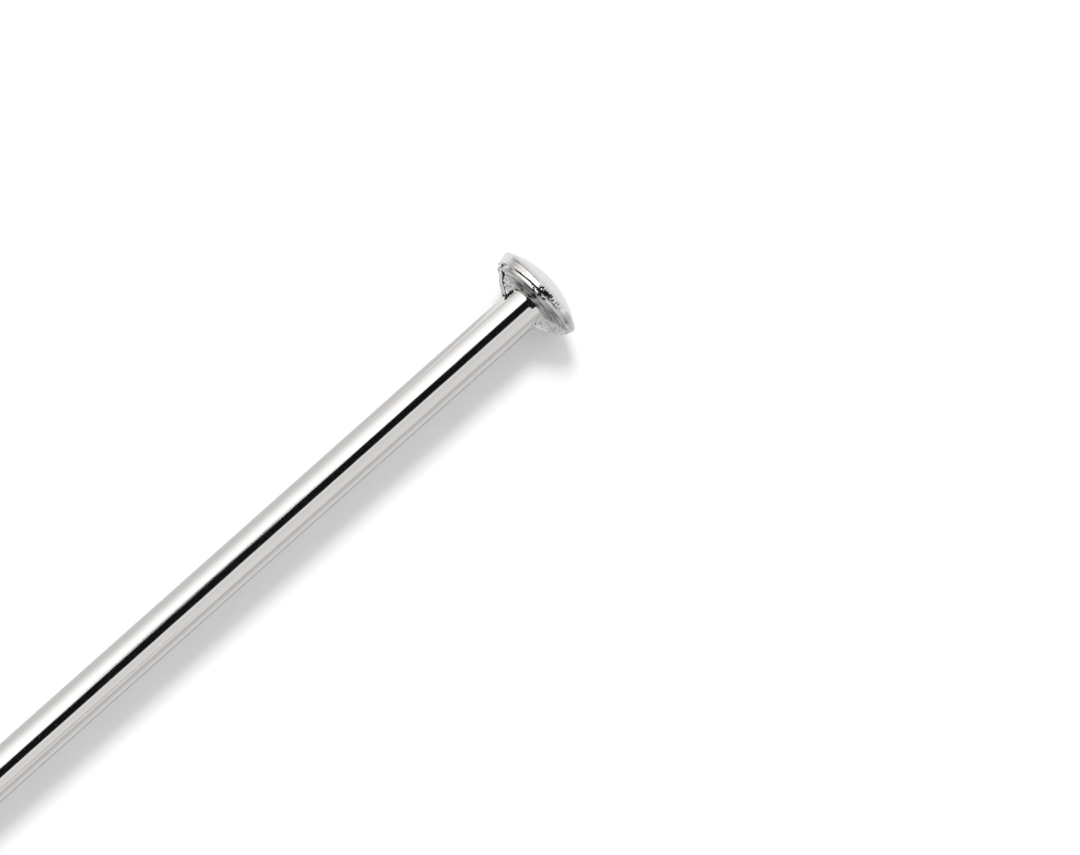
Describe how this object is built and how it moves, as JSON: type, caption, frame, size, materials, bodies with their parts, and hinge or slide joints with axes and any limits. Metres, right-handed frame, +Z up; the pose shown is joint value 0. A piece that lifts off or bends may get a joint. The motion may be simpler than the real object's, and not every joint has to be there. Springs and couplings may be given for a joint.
{
  "type": "straight pin",
  "caption": "Straight sewing pin: bright plated steel wire with a small domed head upset on one end and a long rounded point ground on the other.",
  "frame": {"origin": "on the wire's axis, where the plain shank comes clear of the head and its webs", "axes": "+X along the wire towards the point; +Z up as the pin lies on a table, with the webs at the root of the head 15 degrees off level"},
  "size_m": [0.027, 0.0016, 0.0016],
  "materials": {
    "plated_steel": "polished"
  },
  "bodies": {
    "root": {"pin": "plated_steel"}
  },
  "joints": []
}
